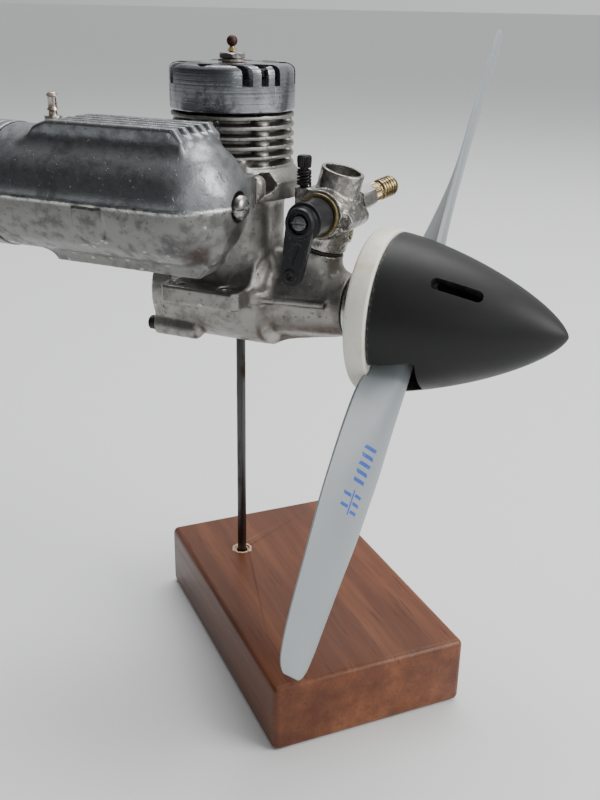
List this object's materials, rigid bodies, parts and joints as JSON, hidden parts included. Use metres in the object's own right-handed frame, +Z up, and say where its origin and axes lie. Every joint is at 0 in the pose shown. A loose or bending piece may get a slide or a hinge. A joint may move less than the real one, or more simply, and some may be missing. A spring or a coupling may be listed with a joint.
{
  "type": "model glow engine",
  "caption": "Single-cylinder glow engine with side muffler, barrel carburettor, spinner and two-blade propeller, on a rod above a wooden display block.",
  "frame": {"origin": "the stand rod's axis where it meets the underside of the wooden block", "axes": "+X along the crankshaft towards the propeller, +Z up, -Y the exhaust side"},
  "size_m": [0.1711, 0.1532, 0.1794],
  "materials": {
    "stained_wood": "reddish-brown stained and varnished block with chipped edges",
    "rod_steel": "dark drawn steel wire",
    "cast_aluminium": "blasted die casting, oil stained",
    "carb_casting": "blasted die casting, lightly tarnished",
    "muffler_casting": "die casting darkened by heat and burnt oil",
    "machined_aluminium": "turned and milled, fine tool marks",
    "ground_steel": "hardened and ground",
    "plated_steel": "bright plating, slightly dulled",
    "black_steel": "black oxide",
    "brass": "turned and tarnished",
    "bearing_brass": "pressed and oiled",
    "copper": "soft annealed copper",
    "gasket_fibre": "oiled fibre sheet",
    "seal_rubber": "matt synthetic rubber",
    "black_plastic": "moulded, scuffed",
    "white_nylon": "moulded, yellowed",
    "grey_nylon": "moulded, glass filled, scuffed"
  },
  "bodies": {
    "root": {"stand_base": "stained_wood", "stand_rod": "rod_steel", "crankcase": "cast_aluminium", "rear_cover": "cast_aluminium", "carb_body": "carb_casting", "rear_cover_gasket": "gasket_fibre", "exhaust_gasket": "gasket_fibre", "rear_cover_screw_1": "black_steel", "rear_cover_screw_2": "black_steel", "rear_cover_screw_3": "black_steel", "rear_cover_screw_4": "black_steel", "cylinder_liner": "ground_steel", "rear_bearing_outer_race": "ground_steel", "front_bearing_outer_race": "ground_steel", "head_gasket": "copper", "cylinder_head": "machined_aluminium", "glow_plug_washer": "copper", "glow_plug_body": "ground_steel", "glow_plug_terminal": "brass", "glow_plug_coil": "ground_steel", "carb_seal": "seal_rubber", "carb_set_screw": "black_steel", "throttle_collar": "brass", "idle_screw_spring": "black_steel", "needle_valve_seat": "plated_steel", "fuel_nipple": "brass", "muffler_body": "muffler_casting", "muffler_screw_front": "black_steel", "muffler_screw_rear": "black_steel", "pressure_nipple": "plated_steel", "muffler_rear_cap": "muffler_casting", "muffler_through_bolt": "plated_steel", "muffler_bolt_nut": "plated_steel", "head_screw_1": "black_steel", "head_screw_2": "black_steel", "head_screw_3": "black_steel", "head_screw_4": "black_steel", "head_screw_5": "black_steel", "head_screw_6": "black_steel"},
    "crank": {"crankshaft": "ground_steel", "rear_bearing_inner_race": "ground_steel", "front_bearing_inner_race": "ground_steel", "drive_washer": "machined_aluminium", "spinner_backplate": "white_nylon", "propeller": "grey_nylon", "prop_washer": "plated_steel", "prop_nut": "plated_steel", "spinner_cone": "black_plastic"},
    "rear_cage": {"rear_bearing_ball_cage": "bearing_brass"},
    "front_cage": {"front_bearing_ball_cage": "bearing_brass"},
    "piston": {"piston": "machined_aluminium", "wrist_pin": "ground_steel"},
    "conrod": {"connecting_rod": "machined_aluminium"},
    "throttle": {"throttle_barrel": "ground_steel", "throttle_arm": "black_plastic", "throttle_arm_screw": "plated_steel"},
    "needle": {"mixture_needle": "brass"},
    "idle_screw": {"idle_stop_screw": "black_steel"},
    "air_screw": {"air_bleed_screw": "brass"}
  },
  "joints": [
    {"name": "crank_spin", "type": "hinge", "parent": "root", "child": "crank", "pos_m": [0, 0, 0.1076], "axis": [1, 0, 0], "continuous": true},
    {"name": "rear_cage_turn", "type": "hinge", "parent": "root", "child": "rear_cage", "pos_m": [0, 0, 0.1076], "axis": [1, 0, 0], "continuous": true},
    {"name": "front_cage_turn", "type": "hinge", "parent": "root", "child": "front_cage", "pos_m": [0, 0, 0.1076], "axis": [1, 0, 0], "continuous": true},
    {"name": "piston_slide", "type": "slide", "parent": "root", "child": "piston", "axis": [0, 0, 1], "range_m": [0, 0.014]},
    {"name": "conrod_swing", "type": "hinge", "parent": "piston", "child": "conrod", "pos_m": [-0.0021, 0, 0.132], "axis": [1, 0, 0], "range_deg": [-12.9, 12.9]},
    {"name": "throttle_turn", "type": "hinge", "parent": "root", "child": "throttle", "pos_m": [0.0284, 0, 0.134], "axis": [0, 1, 0], "range_deg": [0, 70]},
    {"name": "needle_turn", "type": "hinge", "parent": "root", "child": "needle", "pos_m": [0.0284, 0, 0.134], "axis": [0.4573, 0.8626, 0.2162], "range_deg": [-540, 900]},
    {"name": "idle_screw_turn", "type": "hinge", "parent": "root", "child": "idle_screw", "pos_m": [0.0221, -0.005, 0.142], "axis": [0, 0, 1], "range_deg": [-720, 720]},
    {"name": "air_screw_turn", "type": "hinge", "parent": "root", "child": "air_screw", "pos_m": [0.03195, 0, 0.1278], "axis": [1, 0, 0], "range_deg": [-720, 720]}
  ],
  "couplings": [
    {"joint": "rear_cage_turn", "follows": "crank_spin", "ratio": 0.4207},
    {"joint": "front_cage_turn", "follows": "crank_spin", "ratio": 0.4105}
  ]
}
